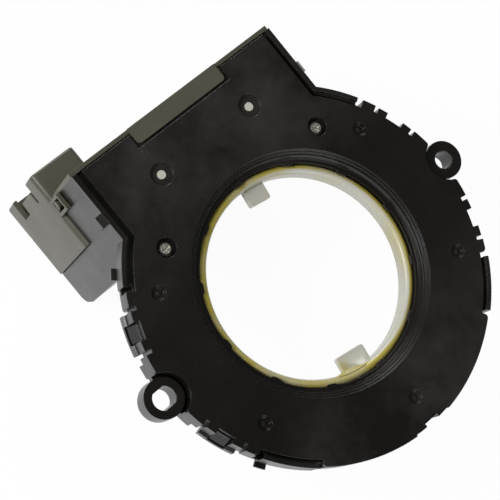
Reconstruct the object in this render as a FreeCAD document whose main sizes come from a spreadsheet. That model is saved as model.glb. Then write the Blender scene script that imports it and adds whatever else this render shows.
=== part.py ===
import FreeCAD, Part
import math
import os
import re
import Sketcher
from FreeCAD import Placement, Rotation, Vector

# Steering angle sensor: a ring on the steering shaft, its gear train and the box with the electronics.
# The origin is on the shaft's axis at the underside of the two ears. +Z points out of the cover, +X to the
# round ear hole and +Y to the tower. Lengths are in millimetres and angles in degrees.

doc = FreeCAD.newDocument("SteeringAngleSensor")
sheet = doc.addObject("Spreadsheet::Sheet", "Dims")

SIZES = [
    # shaft ring
    ("bore_r", 23.0),
    ("tube_wall", 1.3),
    ("tube_low", 0.1),
    ("tube_high", 3.85),
    ("flange_low", 1.75),
    ("flange_thick", 1.0),
    ("rim_width", 1.6),
    ("lug_reach", 4.0),
    ("lug_high", 2.0),
    ("lug_narrow", 5.06),
    ("lug_wide", 7.1),
    ("lug_angle", 80.6),
    ("lug_round", 0.5),
    # gear train
    ("gear_module", 0.8),
    ("ring_teeth", 74),
    ("gear_a_teeth", 23),
    ("gear_b_teeth", 24),
    ("pressure_angle", 20),
    ("tooth_play", 0.06),
    ("ring_gear_low", 1.6),
    ("ring_gear_width", 2.0),
    ("gear_inset", 0.1),
    ("gear_x", 13.05),
    ("gear_y", 36.75),
    ("running_gap", 0.06),
    ("end_gap", 0.05),
    ("hub_r", 4.0),
    ("hub_low", -0.2),
    ("shoulder_r", 5.4),
    ("neck_r", 2.2),
    ("neck_high", 4.35),
    ("journal_r", 0.975),
    ("journal_high", 6.8),
    ("magnet_r", 3.0),
    ("magnet_thick", 2.4),
    # case
    ("case_r", 42.2),
    ("case_wall", 1.3),
    ("floor_thick", 1.2),
    ("rim_high", 6.0),
    ("collar_wall", 1.05),
    ("tower_half", 29.0),
    ("tower_far", 47.9),
    ("tower_wall", 1.2),
    ("box_near", 25.5),
    ("box_depth", 44.7),
    ("box_round", 4.5),
    ("ear_x", 43.45),
    ("ear_r", 4.46),
    ("ear_high", 5.5),
    ("ear_hole_r", 2.15),
    ("ear_slot_half", 0.4),
    ("ear_slot_r", 2.2),
    ("ear_pocket_r", 5.2),
    ("ear_pocket_wall", 0.9),
    ("ear_pocket_floor", 2.5),
    # snap loops
    ("loop_mid", 20.55),
    ("loop_span", 13.3),
    ("loop_leg", 3.85),
    ("loop_inner_r", 40.85),
    ("loop_outer_r", 41.75),
    ("loop_low", 1.5),
    ("loop_bar", 1.1),
    ("loop_gap", 0.9),
    ("loop_room", 0.15),
    ("loop_backing", 1.2),
    ("catch_high", 4.4),
    ("catch_thick", 1.5),
    ("catch_reach", 0.75),
    # raised rim on the diagonals
    ("groove_r", 40.6),
    ("raised_r", 41.2),
    ("raised_high", 6.7),
    ("raised_mid_far", 40.2),
    ("raised_span_far", 13.6),
    ("raised_mid_near", -41.7),
    ("raised_span_near", 17.4),
    # cover
    ("plate_thick", 1.3),
    ("lip_r", 24.58),
    ("lip_low", 4.0),
    ("lip_thick", 0.6),
    ("lip_foot_r", 25.85),
    ("funnel_r", 27.6),
    ("pad_count", 12),
    ("pad_r", 1.65),
    ("pad_reach", 0.6),
    ("pad_high", 6.2),
    ("ear_lip", 0.8),
    ("ear_lip_high", 0.3),
    ("disc_r", 2.6),
    ("disc_floor", 6.5),
    ("disc_boss_r", 3.4),
    ("dimple_r", 1.5),
    ("dimple_deep", 0.3),
    ("dimple_orbit", 35.2),
    # cover screws
    ("screw_x", 22.74),
    ("screw_y", 23.96),
    ("screw_seat", 5.3),
    ("screw_head_r", 1.6),
    ("screw_head_thick", 1.2),
    ("screw_r", 0.95),
    ("screw_low", 0.6),
    ("screw_recess_r", 2.2),
    ("screw_room", 0.15),
    ("boss_r", 2.2),
    ("boss_high", 4.2),
    ("cover_boss_r", 3.2),
    ("cross_long", 1.9),
    ("cross_wide", 0.45),
    ("cross_deep", 0.6),
    # rear cover and plug
    ("rear_thick", 1.0),
    ("skirt_deep", 1.5),
    ("skirt_wall", 1.0),
    ("skirt_gap", 0.1),
    ("tongue_half", 12.75),
    ("tongue_near", 44.7),
    ("tongue_low", 6.5),
    ("tongue_high", 7.2),
    ("notch_gap", 0.65),
    ("plug_left", -30.1),
    ("plug_width", 12.4),
    ("plug_high", -12.6),
    ("plug_tall", 30.7),
    ("plug_near", 35.5),
    ("plug_far", 55.3),
    ("plug_wall", 1.2),
    ("plug_floor", 38.8),
    ("plug_floor_thick", 1.2),
    ("plug_gap", 0.1),
    ("key_low", -36.0),
    ("key_high", -18.8),
    ("key_near", 50.2),
    ("lock_low", -30.5),
    ("lock_high", -20.3),
    ("lock_long", 3.0),
    ("hook_near", 44.0),
    ("hook_long", 4.2),
    ("hook_high", -6.0),
    ("hook_thick", 1.0),
    ("hook_rim", 0.9),
    ("hook_notch_high", -5.6),
    # terminals
    ("pin_count", 6),
    ("pin_pitch", 4.2),
    ("pin_first", -38.4),
    ("pin_x", -23.9),
    ("pin_size", 0.64),
    ("pin_far", 50.6),
    ("pin_tail", 1.2),
    # boards
    ("board_thick", 1.6),
    ("board_gap", 0.6),
    ("sensor_board_top", -1.6),
    ("sensor_board_near", 28.0),
    ("sensor_board_far", 45.6),
    ("main_board_near", 33.0),
    ("main_board_low", -42.3),
    ("main_board_high", -5.0),
    ("rail_reach", 1.9),
    ("rail_thick", 1.2),
    ("chip_side", 5.0),
    ("chip_thick", 1.0),
    ("header_half", 5.0),
    ("header_low", -8.6),
    ("header_tall", 2.5),
    ("header_deep", 2.5),
    ("header_pitch", 2.0),
    ("controller_side", 10.0),
    ("controller_thick", 1.5),
    ("controller_z", -20.0),
    ("transceiver_x", -13.0),
    ("transceiver_z", -30.0),
    ("regulator_x", 15.0),
    ("regulator_z", -17.0),
    ("crystal_x", 3.0),
    ("crystal_z", -32.0),
    ("storage_x", 17.0),
    ("storage_z", -32.0),
    ("storage_r", 3.15),
    ("storage_tall", 5.4),
    ("cap_long", 2.0),
    ("cap_wide", 1.25),
    ("cap_thick", 1.0),
    ("cap_pitch", 3.2),
    ("cap_count", 5),
]

for row, (alias, number) in enumerate(SIZES, start=1):
    sheet.set("A%d" % row, alias)
    sheet.set("B%d" % row, str(number))
    sheet.setAlias("B%d" % row, alias)
doc.recompute()

NAMES = {alias for alias, number in SIZES}


def full(text):
    # a size's own name becomes the sheet's cell
    return re.sub(r"[a-z]\w*", lambda m: "Dims." + m.group(0) if m.group(0) in NAMES else m.group(0), str(text))


def size(alias):
    return float(getattr(sheet, alias))


def bind(obj, **sizes):
    for prop, text in sizes.items():
        obj.setExpression(prop.replace("__", "."), full(text))


# Sketches on a body's own planes

def sketch_on(body, name, role, offset="0", turned=None):
    sketch = body.newObject("Sketcher::SketchObject", name)
    plane = [f for f in body.Origin.OriginFeatures if f.Role == role][0]
    sketch.AttachmentSupport = [(plane, "")]
    sketch.MapMode = "FlatFace"
    if turned is not None:
        sketch.AttachmentOffset = Placement(Vector(), Rotation(Vector(0, 1, 0), 1))
        bind(sketch, AttachmentOffset__Rotation__Angle=turned)
    bind(sketch, AttachmentOffset__Base__z=offset)
    return sketch


def fix_points(sketch, places):
    rules = []
    texts = []
    for geometry, vertex, x, y in places:
        rules.append(Sketcher.Constraint("DistanceX", -1, 1, geometry, vertex, 1.0))
        rules.append(Sketcher.Constraint("DistanceY", -1, 1, geometry, vertex, 1.0))
        texts += [x, y]
    for index, text in zip(sketch.addConstraint(rules), texts):
        sketch.setExpression("Constraints[%d]" % index, full(text))


def circle(sketch, x, y, radius):
    index = sketch.addGeometry(Part.Circle(Vector(1, 1, 0), Vector(0, 0, 1), 1.0), False)
    row = sketch.addConstraint(Sketcher.Constraint("Radius", index, 1.0))
    sketch.setExpression("Constraints[%d]" % row, full(radius))
    fix_points(sketch, [(index, 3, x, y)])


def outline(sketch, points):
    count = len(points)
    start = sketch.GeometryCount
    rough = []
    for index in range(count):
        angle = 2 * math.pi * index / count
        rough.append(Vector(30 * math.cos(angle), 30 * math.sin(angle), 0))
    lines = [Part.LineSegment(rough[index], rough[(index + 1) % count]) for index in range(count)]
    sketch.addGeometry(lines, False)
    joins = []
    for index in range(count):
        follower = start + (index + 1) % count
        joins.append(Sketcher.Constraint("Coincident", start + index, 2, follower, 1))
    sketch.addConstraint(joins)
    fix_points(sketch, [(start + index, 1, x, y) for index, (x, y) in enumerate(points)])


def rectangle(sketch, left, low, right, high):
    outline(sketch, [(left, low), (right, low), (right, high), (left, high)])


def draw(sketch, shapes):
    for kind, *values in shapes:
        {"circle": circle, "rectangle": rectangle, "outline": outline}[kind](sketch, *values)


# Pads, pockets and turned features between two levels of a plane

def new_body(label):
    body = doc.addObject("PartDesign::Body", label)
    body.Label = label
    return body


def add(body, name, shapes, low, high, role="XY_Plane"):
    offset = "-(%s)" % high if role == "XZ_Plane" else low
    sketch = sketch_on(body, name + "_sketch", role, offset)
    draw(sketch, shapes)
    feature = body.newObject("PartDesign::Pad", name)
    feature.Profile = sketch
    feature.Refine = False
    bind(feature, Length="(%s) - (%s)" % (high, low))
    return feature


def cut(body, name, shapes, low, high, role="XY_Plane"):
    offset = "-(%s)" % low if role == "XZ_Plane" else high
    sketch = sketch_on(body, name + "_sketch", role, offset)
    draw(sketch, shapes)
    feature = body.newObject("PartDesign::Pocket", name)
    feature.Profile = sketch
    feature.Refine = False
    bind(feature, Length="(%s) - (%s)" % (high, low))
    return feature


def turned(body, name, points, mid=None, span="360", taking=False):
    sketch = sketch_on(body, name + "_sketch", "XZ_Plane", "0", mid)
    outline(sketch, points)
    kind = "PartDesign::Groove" if taking else "PartDesign::Revolution"
    feature = body.newObject(kind, name)
    feature.Profile = sketch
    feature.Refine = False
    feature.ReferenceAxis = (sketch, ["V_Axis"])
    feature.Midplane = True
    bind(feature, Angle=span)
    return feature


def round_edge(body, name, feature, y, z, radius):
    # the long edge along X at this Y and Z of the feature made last
    doc.recompute()
    found = []
    for index, edge in enumerate(feature.Shape.Edges, start=1):
        middle = edge.CenterOfMass
        if abs(middle.y - y) < 0.01 and abs(middle.z - z) < 0.01 and edge.Length > 1:
            found.append("Edge%d" % index)
    fillet = body.newObject("PartDesign::Fillet", name)
    fillet.Base = (feature, found)
    bind(fillet, Radius=radius)
    return fillet


def block(low_r, high_r, low, high):
    return [(low_r, low), (high_r, low), (high_r, high), (low_r, high)]


def quadrants(mid):
    return [(1, mid), (2, "180 - (%s)" % mid), (3, "180 + (%s)" % mid), (4, "-(%s)" % mid)]


def sides():
    return [("right", 1), ("left", -1)]


# Lower case: ring floor and wall, tower, deep box, ears and the catches of the snap loops

case = new_body("lower_case")
deep_box = add(case, "deep_box", [("rectangle", "box_near", "-box_depth", "tower_far", "0")],
               "-tower_half", "tower_half", "YZ_Plane")
deep_room = cut(case, "deep_room",
                [("rectangle", "tower_wall - tower_half", "box_near + tower_wall", "tower_half - tower_wall",
                  "tower_far")],
                "tower_wall - box_depth", "0")
room_corner = round_edge(case, "room_corner", deep_room, size("box_near") + size("tower_wall"),
                         size("tower_wall") - size("box_depth"), "box_round - tower_wall")
round_edge(case, "box_corner", room_corner, size("box_near"), -size("box_depth"), "box_round")

add(case, "ring_disc", [("circle", "0", "0", "case_r")], "0", "rim_high")
add(case, "tower", [("rectangle", "-tower_half", "box_near", "tower_half", "tower_far")], "0", "rim_high")
cut(case, "ring_room", [("circle", "0", "0", "case_r - case_wall")], "flange_low - end_gap", "rim_high")
cut(case, "gear_room",
    [("circle", "0", "0", "case_r - case_wall"),
     ("circle", "0", "0", "bore_r + tube_wall + running_gap + collar_wall")],
    "floor_thick", "flange_low - end_gap")
cut(case, "tower_room",
    [("rectangle", "tower_wall - tower_half", "box_near - 3", "tower_half - tower_wall", "tower_far")],
    "floor_thick", "rim_high")
for number, mid in quadrants("loop_mid"):
    turned(case, "loop_backing_%d" % number,
           block("loop_inner_r - loop_room - loop_backing", "case_r", "floor_thick", "rim_high"),
           mid, "loop_span + 2 * loop_gap + 4")
    turned(case, "loop_recess_%d" % number,
           block("loop_inner_r - loop_room", "case_r + 1", "loop_low - 0.6", "rim_high"),
           mid, "loop_span + 2 * loop_gap", True)
    turned(case, "catch_%d" % number,
           [("loop_inner_r - loop_room - 0.4", "catch_high - catch_thick"),
            ("loop_inner_r + catch_reach", "catch_high - catch_thick"),
            ("loop_inner_r + catch_reach", "catch_high - 0.6 * catch_thick"),
            ("loop_inner_r - loop_room", "catch_high"),
            ("loop_inner_r - loop_room - 0.4", "catch_high")],
           mid, "loop_span - 2 * loop_leg - 2 * loop_gap")

for number, mid in ((1, "raised_mid_far"), (2, "180 - raised_mid_far")):
    turned(case, "raised_far_%d" % number, block("raised_r", "case_r", "rim_high - 0.5", "raised_high"),
           mid, "raised_span_far")
for number, mid in ((1, "raised_mid_near"), (2, "180 - raised_mid_near")):
    turned(case, "raised_near_%d" % number, block("raised_r", "case_r", "rim_high - 0.5", "raised_high"),
           mid, "raised_span_near")

for side, sign in sides():
    ear_x = "%d * ear_x" % sign
    add(case, "ear_wall_" + side, [("circle", ear_x, "0", "ear_pocket_r + ear_pocket_wall")],
        "0", "rim_high")
for side, mid in (("right", "0"), ("left", "180")):
    turned(case, "ear_wall_trim_" + side, block("case_r", "case_r + 12", "-1", "rim_high + 1"), mid, "30", True)
for side, sign in sides():
    ear_x = "%d * ear_x" % sign
    cut(case, "ear_pocket_" + side, [("circle", ear_x, "0", "ear_pocket_r")], "ear_pocket_floor", "rim_high")
    add(case, "ear_" + side, [("circle", ear_x, "0", "ear_r")], "0", "ear_high")
cut(case, "ear_hole", [("circle", "ear_x", "0", "ear_hole_r")], "0", "ear_high")
cut(case, "ear_slot_mid",
    [("rectangle", "-ear_x - ear_slot_half", "-ear_slot_r", "ear_slot_half - ear_x", "ear_slot_r")],
    "0", "ear_high")
cut(case, "ear_slot_out", [("circle", "-ear_x - ear_slot_half", "0", "ear_slot_r")], "0", "ear_high")
cut(case, "ear_slot_in", [("circle", "ear_slot_half - ear_x", "0", "ear_slot_r")], "0", "ear_high")

for side, sign in sides():
    add(case, "screw_boss_" + side, [("circle", "%d * screw_x" % sign, "screw_y", "boss_r")],
        "floor_thick / 2", "boss_high")
for side, sign in sides():
    cut(case, "screw_pilot_" + side, [("circle", "%d * screw_x" % sign, "screw_y", "screw_r")],
        "screw_low", "boss_high")
    cut(case, "hub_bearing_" + side, [("circle", "%d * gear_x" % sign, "gear_y", "hub_r + running_gap")],
        "0", "floor_thick")
cut(case, "shaft_bore", [("circle", "0", "0", "bore_r + tube_wall + running_gap")], "0", "rim_high")

# Rails for the two boards, then the openings for the plug and its hook
INNER = "(tower_half - tower_wall)"
for side, sign in sides():
    inner = "%d * %s" % (sign, INNER)
    edge = "%d * (%s - rail_reach)" % (sign, INNER)
    add(case, "board_ledge_" + side,
        [("rectangle", edge, "sensor_board_near", inner, "sensor_board_far")],
        "sensor_board_top - board_thick - rail_thick", "sensor_board_top - board_thick")
    add(case, "rail_near_" + side,
        [("rectangle", edge, "main_board_near - rail_thick", inner, "main_board_near")],
        "tower_wall - box_depth", "main_board_high")
    add(case, "rail_far_" + side,
        [("rectangle", edge, "main_board_near + board_thick", inner, "plug_near - plug_gap")],
        "tower_wall - box_depth", "main_board_high")
add(case, "board_foot", [("rectangle", "-6", "main_board_near - rail_thick", "6", "plug_near - plug_gap")],
    "tower_wall - box_depth", "main_board_low")

cut(case, "plug_opening",
    [("rectangle", "plug_near - plug_gap", "plug_high - plug_tall - plug_gap", "tower_far",
      "plug_high + plug_gap")],
    "-tower_half", "-tower_half + tower_wall", "YZ_Plane")
cut(case, "hook_opening",
    [("rectangle", "hook_near + 0.2", "plug_high + plug_gap", "tower_far", "hook_notch_high")],
    "-tower_half", "-tower_half + tower_wall", "YZ_Plane")

# Top cover: plate, stepped lip round the bore, snap loops, recesses and the notch for the rear cover's tongue

PLATE = "rim_high + plate_thick"
cover = new_body("top_cover")
add(cover, "plate_disc", [("circle", "0", "0", "case_r")], "rim_high", PLATE)
for side, sign in sides():
    add(cover, "ear_lip_" + side, [("circle", "%d * ear_x" % sign, "0", "ear_pocket_r + ear_lip")],
        "rim_high", PLATE + " + ear_lip_high")
turned(cover, "plate_trim", block("case_r", "case_r + 12", "rim_high - 1", PLATE + " + 1"), None, "360", True)
for side, sign in sides():
    cut(cover, "ear_clearance_" + side, [("circle", "%d * ear_x" % sign, "0", "ear_pocket_r")],
        "rim_high", PLATE + " + ear_lip_high")
for number, mid in quadrants("loop_mid"):
    turned(cover, "loop_cut_%d" % number, block("loop_inner_r - 0.1", "case_r + 1", "rim_high", PLATE),
           mid, "loop_span + 2 * loop_gap", True)
for number, mid in ((1, "raised_mid_far"), (2, "180 - raised_mid_far")):
    turned(cover, "rim_cut_far_%d" % number, block("groove_r", "case_r + 1", "rim_high", PLATE),
           mid, "raised_span_far + 1", True)
for number, mid in ((1, "raised_mid_near"), (2, "180 - raised_mid_near")):
    turned(cover, "rim_cut_near_%d" % number, block("groove_r", "case_r + 1", "rim_high", PLATE),
           mid, "raised_span_near + 1", True)
add(cover, "plate_tower", [("rectangle", "-tower_half", "box_near", "tower_half", "tower_far - 0.1")],
    "rim_high", PLATE)

for side, sign in sides():
    add(cover, "screw_boss_" + side, [("circle", "%d * screw_x" % sign, "screw_y", "cover_boss_r")],
        "boss_high", "rim_high")
    add(cover, "disc_boss_" + side, [("circle", "%d * gear_x" % sign, "gear_y", "disc_boss_r")],
        "neck_high + end_gap", "rim_high")

cut(cover, "bore_clearance", [("circle", "0", "0", "funnel_r + 0.4")], "rim_high", PLATE)
turned(cover, "stepped_lip",
       [("funnel_r", PLATE),
        ("funnel_r - 0.35", PLATE + " - 0.35"),
        ("funnel_r - 1.1", PLATE + " - 0.5"),
        ("lip_foot_r", "pad_high + 0.1"),
        ("lip_foot_r", "lip_low + lip_thick"),
        ("lip_r", "lip_low + lip_thick"),
        ("lip_r", "lip_low"),
        ("lip_foot_r + 1.2", "lip_low"),
        ("lip_foot_r + 1.2", "rim_high"),
        ("funnel_r + 0.9", "rim_high"),
        ("funnel_r + 0.9", PLATE)])
pad_feature = add(cover, "lip_pad", [("circle", "lip_foot_r - pad_reach + pad_r", "0", "pad_r")],
                  "lip_low + lip_thick / 2", "pad_high")
pattern = cover.newObject("PartDesign::PolarPattern", "lip_pads")
pattern.Originals = [pad_feature]
pattern.Axis = ([f for f in cover.Origin.OriginFeatures if f.Role == "Z_Axis"][0], [""])
pattern.Angle = 360
bind(pattern, Occurrences="pad_count")
cover.Tip = pattern

for number, mid in quadrants("loop_mid"):
    for name, shift in (("first", "-(loop_span - loop_leg) / 2"), ("second", "(loop_span - loop_leg) / 2")):
        turned(cover, "loop_leg_%s_%d" % (name, number),
               [("loop_inner_r - 0.6", PLATE),
                ("loop_inner_r - 0.6", "rim_high"),
                ("loop_inner_r", "rim_high"),
                ("loop_inner_r", "loop_low"),
                ("loop_outer_r", "loop_low"),
                ("loop_outer_r", PLATE)],
               "%s + %s" % (mid, shift), "loop_leg")
    turned(cover, "loop_bar_%d" % number,
           block("loop_inner_r", "loop_outer_r", "loop_low", "loop_low + loop_bar"), mid, "loop_span")

for side, sign in sides():
    cut(cover, "screw_recess_" + side, [("circle", "%d * screw_x" % sign, "screw_y", "screw_recess_r")],
        "screw_seat", PLATE)
    cut(cover, "screw_hole_" + side, [("circle", "%d * screw_x" % sign, "screw_y", "screw_r + screw_room")],
        "boss_high", "screw_seat")
    cut(cover, "disc_recess_" + side, [("circle", "%d * gear_x" % sign, "gear_y", "disc_r")],
        "disc_floor", PLATE)
    cut(cover, "journal_hole_" + side, [("circle", "%d * gear_x" % sign, "gear_y", "journal_r + running_gap")],
        "neck_high + end_gap", "disc_floor")
cut(cover, "tongue_notch",
    [("rectangle", "-tongue_half - notch_gap", "tongue_near - notch_gap", "tongue_half + notch_gap",
      "tower_far")],
    "tongue_low", PLATE)
for number, angle in enumerate((30, 150, 210, 270, 330), start=1):
    x = "dimple_orbit * cos(%d)" % angle
    y = "dimple_orbit * sin(%d)" % angle
    cut(cover, "dimple_%d" % number, [("circle", x, y, "dimple_r")], PLATE + " - dimple_deep", PLATE)

# Rear cover: grey plate with its skirt, tongue, plug shroud, lock tongue and hook

rear = new_body("rear_cover")
REAR = "tower_far + rear_thick"
add(rear, "rear_plate", [("rectangle", "-tower_half", "-box_depth", "tower_half", "rim_high")],
    "tower_far", REAR, "XZ_Plane")
add(rear, "rear_skirt",
    [("rectangle", "-%s + skirt_gap" % INNER, "tower_wall - box_depth + skirt_gap",
      "%s - skirt_gap" % INNER, "-skirt_gap"),
     ("rectangle", "-%s + skirt_gap + skirt_wall" % INNER, "tower_wall - box_depth + skirt_gap + skirt_wall",
      "%s - skirt_gap - skirt_wall" % INNER, "-skirt_gap - skirt_wall")],
    "tower_far - skirt_deep", "tower_far", "XZ_Plane")
add(rear, "rear_neck", [("rectangle", "-tongue_half", "rim_high - 1", "tongue_half", "tongue_high")],
    "tower_far", REAR, "XZ_Plane")
add(rear, "tongue", [("rectangle", "-tongue_half", "tongue_near", "tongue_half", REAR)],
    "tongue_low", "tongue_high")
RIGHT = "plug_left + plug_width"
LOW = "plug_high - plug_tall"
add(rear, "shroud", [("rectangle", "plug_left", LOW, RIGHT, "plug_high")], "plug_near", "plug_far", "XZ_Plane")
SOCKET = ("rectangle", "plug_left + plug_wall", LOW + " + plug_wall", RIGHT + " - plug_wall",
          "plug_high - plug_wall")
cut(rear, "socket", [SOCKET], "plug_floor + plug_floor_thick", "plug_far", "XZ_Plane")
cut(rear, "shroud_back", [SOCKET], "plug_near", "plug_floor", "XZ_Plane")
cut(rear, "key_notch", [("rectangle", "key_near", "key_low", "plug_far", "key_high")],
    "plug_left", "plug_left + plug_wall", "YZ_Plane")
add(rear, "lock_tongue",
    [("outline", [("key_near - 0.5", "lock_low"), ("key_near", "lock_low"),
                  ("key_near + lock_long", "lock_low + 0.6"),
                  ("key_near + lock_long", "lock_high"), ("key_near - 0.5", "lock_high")])],
    "plug_left", "plug_left + plug_wall", "YZ_Plane")
add(rear, "hook",
    [("rectangle", "hook_near", "plug_high - 0.5", "hook_near + hook_long", "hook_high"),
     ("rectangle", "hook_near + hook_rim", "plug_high + hook_rim", "hook_near + hook_long - hook_rim",
      "hook_high - hook_rim")],
    "plug_left", "plug_left + hook_thick", "YZ_Plane")
holes = []
for number in range(int(size("pin_count"))):
    z = "pin_first + %d * pin_pitch" % number
    holes.append(("rectangle", "pin_x - pin_size / 2", z + " - pin_size / 2", "pin_x + pin_size / 2",
                  z + " + pin_size / 2"))
cut(rear, "terminal_holes", holes, "plug_floor", "plug_floor + plug_floor_thick", "XZ_Plane")


# Gear teeth: an involute flank from root to tip, mirrored and turned round the rim

def toothed_rim(label, teeth, shift, low, high, inner_r, phase, centre):
    module = size("gear_module")
    pressure = math.radians(size("pressure_angle"))
    pitch_r = module * teeth / 2
    base_r = pitch_r * math.cos(pressure)
    tip_r = pitch_r + module * (1 + shift)
    root_r = pitch_r - module * (1.25 - shift)
    thick = module * (math.pi / 2 + 2 * shift * math.tan(pressure)) - size("tooth_play")
    involute = math.tan(pressure) - pressure
    half = thick / 2 / pitch_r + involute
    flank = []
    start_r = max(base_r, root_r)
    if root_r < base_r:
        flank.append((root_r, half))
    for step in range(3):
        radius = start_r + (tip_r - start_r) * step / 2
        roll = math.sqrt(max((radius / base_r) ** 2 - 1, 0))
        flank.append((radius, half - (roll - math.atan(roll))))
    points = []
    for tooth in range(teeth):
        middle = phase + 2 * math.pi * tooth / teeth
        for radius, angle in flank:
            points.append(Vector(radius * math.cos(middle - angle), radius * math.sin(middle - angle), 0))
        for radius, angle in reversed(flank):
            points.append(Vector(radius * math.cos(middle + angle), radius * math.sin(middle + angle), 0))
    points.append(points[0])
    blank = Part.Face(Part.Wire(Part.makePolygon(points))).extrude(Vector(0, 0, high - low))
    rim = doc.addObject("Part::Feature", label)
    rim.Shape = blank.cut(Part.makeCylinder(inner_r, high - low))
    rim.Placement = Placement(Vector(centre[0], centre[1], low), Rotation())
    return rim


# Shaft ring: tube, flange, drive lugs and gear rim

ring = new_body("ring_blank")
TUBE = "bore_r + tube_wall"
ring_root = size("gear_module") * (size("ring_teeth") / 2 - 1.25)
ring_gear_high = size("ring_gear_low") + size("ring_gear_width")
turned(ring, "tube_and_flange",
       [("bore_r", "tube_low"),
        (TUBE, "tube_low"),
        (TUBE, "flange_low"),
        ("gear_module * (ring_teeth / 2 - 1.25) - rim_width / 2", "flange_low"),
        ("gear_module * (ring_teeth / 2 - 1.25) - rim_width / 2", "flange_low + flange_thick"),
        (TUBE, "flange_low + flange_thick"),
        (TUBE, "tube_high"),
        ("bore_r", "tube_high")])
ring_rim = toothed_rim("ring_rim", int(size("ring_teeth")), 0, size("ring_gear_low"), ring_gear_high,
                       ring_root - size("rim_width"), 0, (0, 0))
lugs = []
for name, width, turn in (("narrow", "lug_narrow", "lug_angle"), ("wide", "lug_wide", "lug_angle + 180")):
    lug = doc.addObject("Part::Box", "lug_" + name)
    lug.Placement = Placement(Vector(), Rotation(Vector(0, 0, 1), 1))
    bind(lug, Length="lug_reach + tube_wall / 2", Width=width, Height="lug_high - tube_low",
         Placement__Rotation__Angle=turn,
         Placement__Base__x="(bore_r - lug_reach) * cos(%s) + %s / 2 * sin(%s)" % (turn, width, turn),
         Placement__Base__y="(bore_r - lug_reach) * sin(%s) - %s / 2 * cos(%s)" % (turn, width, turn),
         Placement__Base__z="tube_low")
    doc.recompute()
    rounded = doc.addObject("Part::Fillet", "lug_round_" + name)
    rounded.Base = lug
    edges = []
    for index, edge in enumerate(lug.Shape.Edges, start=1):
        middle = edge.CenterOfMass
        upright = abs(edge.tangentAt(edge.FirstParameter).z) > 0.9
        if upright and math.hypot(middle.x, middle.y) < size("bore_r") - size("lug_reach") / 2:
            edges.append((index, size("lug_round"), size("lug_round")))
    rounded.Edges = edges
    lugs.append(rounded)
rotor = doc.addObject("Part::MultiFuse", "rotor_ring")
rotor.Label = "rotor_ring"
rotor.Shapes = [ring, ring_rim] + lugs


# Measuring gears: toothed web, hub with the magnet and the journal that shows in the cover

def measuring_gear(letter, sign, teeth):
    centre = (sign * size("gear_x"), size("gear_y"))
    orbit = math.hypot(centre[0], centre[1])
    toward = math.atan2(centre[1], centre[0])
    ring_teeth = size("ring_teeth")
    shift = orbit / size("gear_module") - (ring_teeth + teeth) / 2
    pitch = 2 * math.pi / ring_teeth
    nearest = round(toward / pitch) * pitch - toward
    phase = toward + math.pi + math.pi / teeth - nearest * ring_teeth / teeth
    root_r = size("gear_module") * (teeth / 2 - 1.25 + shift)
    low = size("ring_gear_low") + size("gear_inset")
    high = ring_gear_high - size("gear_inset")
    teeth_rim = toothed_rim("gear_rim_" + letter, teeth, shift, low, high, root_r - size("rim_width"), phase,
                            centre)
    hub = new_body("gear_hub_" + letter)
    hub_sketch = sketch_on(hub, "hub_profile_" + letter, "XZ_Plane")
    web = "gear_module * (%d / 2 - 1.25) - rim_width + 0.4" % teeth
    outline(hub_sketch, [("magnet_r", "hub_low"), ("hub_r", "hub_low"),
                         ("hub_r", "floor_thick + end_gap"), ("shoulder_r", "floor_thick + end_gap"),
                         ("shoulder_r", "ring_gear_low + gear_inset + 0.3"),
                         (web, "ring_gear_low + gear_inset + 0.3"),
                         (web, "ring_gear_low + ring_gear_width - gear_inset - 0.3"),
                         ("neck_r", "ring_gear_low + ring_gear_width - gear_inset - 0.3"),
                         ("neck_r", "neck_high"), ("journal_r", "neck_high"),
                         ("journal_r", "journal_high"), ("0", "journal_high"), ("0", "hub_low + magnet_thick"),
                         ("magnet_r", "hub_low + magnet_thick")])
    turn = hub.newObject("PartDesign::Revolution", "hub_turn_" + letter)
    turn.Profile = hub_sketch
    turn.ReferenceAxis = (hub_sketch, ["V_Axis"])
    bind(turn, Angle="360")
    bind(hub, Placement__Base__x="%d * gear_x" % sign, Placement__Base__y="gear_y")
    gear = doc.addObject("Part::MultiFuse", "measuring_gear_" + letter)
    gear.Label = "measuring_gear_" + letter
    gear.Shapes = [hub, teeth_rim]
    magnet = doc.addObject("Part::Cylinder", "magnet_" + letter)
    magnet.Label = "magnet_" + letter
    bind(magnet, Radius="magnet_r", Height="magnet_thick", Placement__Base__x="%d * gear_x" % sign,
         Placement__Base__y="gear_y", Placement__Base__z="hub_low")
    return [gear, magnet]


gears = measuring_gear("a", -1, int(size("gear_a_teeth"))) + measuring_gear("b", 1, int(size("gear_b_teeth")))

# Cover screws with a domed head and a cross recess

screws = []
for side, sign in sides():
    screw = new_body("cover_screw_" + side)
    profile = sketch_on(screw, "screw_profile_" + side, "XZ_Plane")
    outline(profile, [("0", "screw_low"), ("screw_r", "screw_low"),
                      ("screw_r", "screw_seat"), ("screw_head_r", "screw_seat"),
                      ("screw_head_r", "screw_seat + screw_head_thick * 0.5"),
                      ("screw_head_r * 0.7", "screw_seat + screw_head_thick"),
                      ("0", "screw_seat + screw_head_thick")])
    turn = screw.newObject("PartDesign::Revolution", "screw_turn_" + side)
    turn.Profile = profile
    turn.ReferenceAxis = (profile, ["V_Axis"])
    bind(turn, Angle="360")
    top = "screw_seat + screw_head_thick"
    for name, across, along in (("one", "cross_long", "cross_wide"), ("two", "cross_wide", "cross_long")):
        cut(screw, "cross_%s_%s" % (name, side),
            [("rectangle", "-%s / 2" % across, "-%s / 2" % along, "%s / 2" % across, "%s / 2" % along)],
            top + " - cross_deep", top)
    bind(screw, Placement__Base__x="%d * screw_x" % sign, Placement__Base__y="screw_y")
    screws.append(screw)

# Boards, with square holes for the pins

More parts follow.
